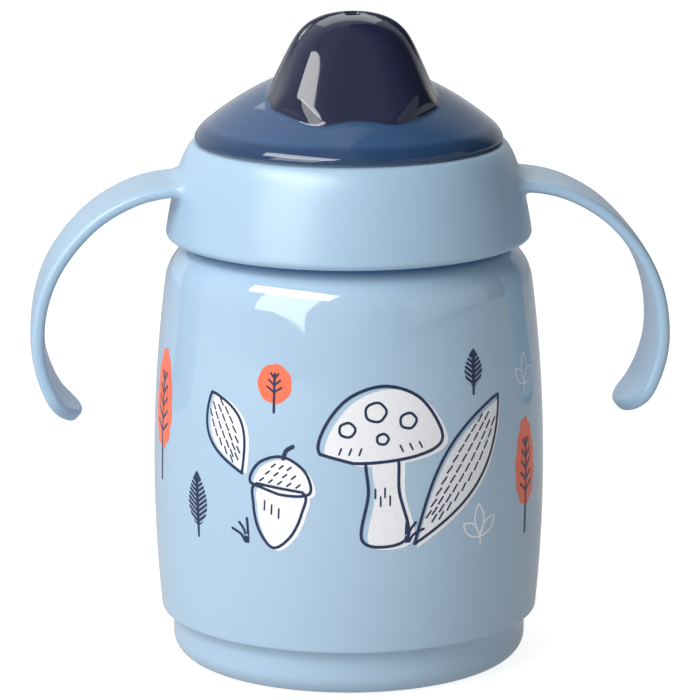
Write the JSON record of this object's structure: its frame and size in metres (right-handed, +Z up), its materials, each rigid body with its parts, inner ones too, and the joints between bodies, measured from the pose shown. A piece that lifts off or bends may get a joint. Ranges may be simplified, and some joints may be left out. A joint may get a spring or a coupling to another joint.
{
  "type": "sippy cup",
  "caption": "Training cup for a toddler: a plastic cup, a screw-on collar with two open hook handles, and a soft spout over a removable no-spill valve.",
  "frame": {"origin": "centre of the underside of the cup's foot, on the surface it stands on", "axes": "+Z up along the cup's axis, which is also the thread's axis; the handles lie along +X and -X; the spout is offset towards -Y, the front"},
  "size_m": [0.1238, 0.0762, 0.1284],
  "materials": {
    "body_plastic": "gloss",
    "collar_plastic": "satin",
    "spout_soft": "glossy translucent",
    "valve_plastic": "satin",
    "silicone": "soft matt"
  },
  "bodies": {
    "cup": {"cup_body": "body_plastic"},
    "seal": {"rim_seal": "silicone"},
    "lid": {"handle_collar": "collar_plastic", "spout_dome": "spout_soft"},
    "valve_unit": {"valve_housing": "valve_plastic", "valve_seal_ring": "silicone"},
    "valve_floor": {"valve_cover": "valve_plastic"},
    "diaphragm": {"valve_diaphragm": "silicone"},
    "air_vent": {"vent_valve": "silicone"}
  },
  "joints": [
    {"name": "lid_lift", "type": "slide", "parent": "cup", "child": "seal", "axis": [0, 0, 1], "range_m": [0, 0.01405]},
    {"name": "lid_turn", "type": "hinge", "parent": "seal", "child": "lid", "pos_m": [0, 0, 0.09], "axis": [0, 0, 1], "range_deg": [0, 1260]},
    {"name": "valve_pull", "type": "slide", "parent": "lid", "child": "valve_unit", "axis": [0, 0, -1], "range_m": [0, 0.012]},
    {"name": "cover_pull", "type": "slide", "parent": "valve_unit", "child": "valve_floor", "axis": [0, 0, -1], "range_m": [0, 0.006]},
    {"name": "diaphragm_lift", "type": "slide", "parent": "valve_unit", "child": "diaphragm", "axis": [0, 0, 1], "range_m": [0, 0.0008], "stiffness_N_per_m": 60, "springref_m": -0.002},
    {"name": "vent_drop", "type": "slide", "parent": "lid", "child": "air_vent", "axis": [0, 0, -1], "range_m": [0, 0.0006], "stiffness_N_per_m": 40, "springref_m": -0.002}
  ],
  "couplings": [
    {"joint": "lid_lift", "follows": "lid_turn", "m_per_rad": 0.00063662}
  ]
}
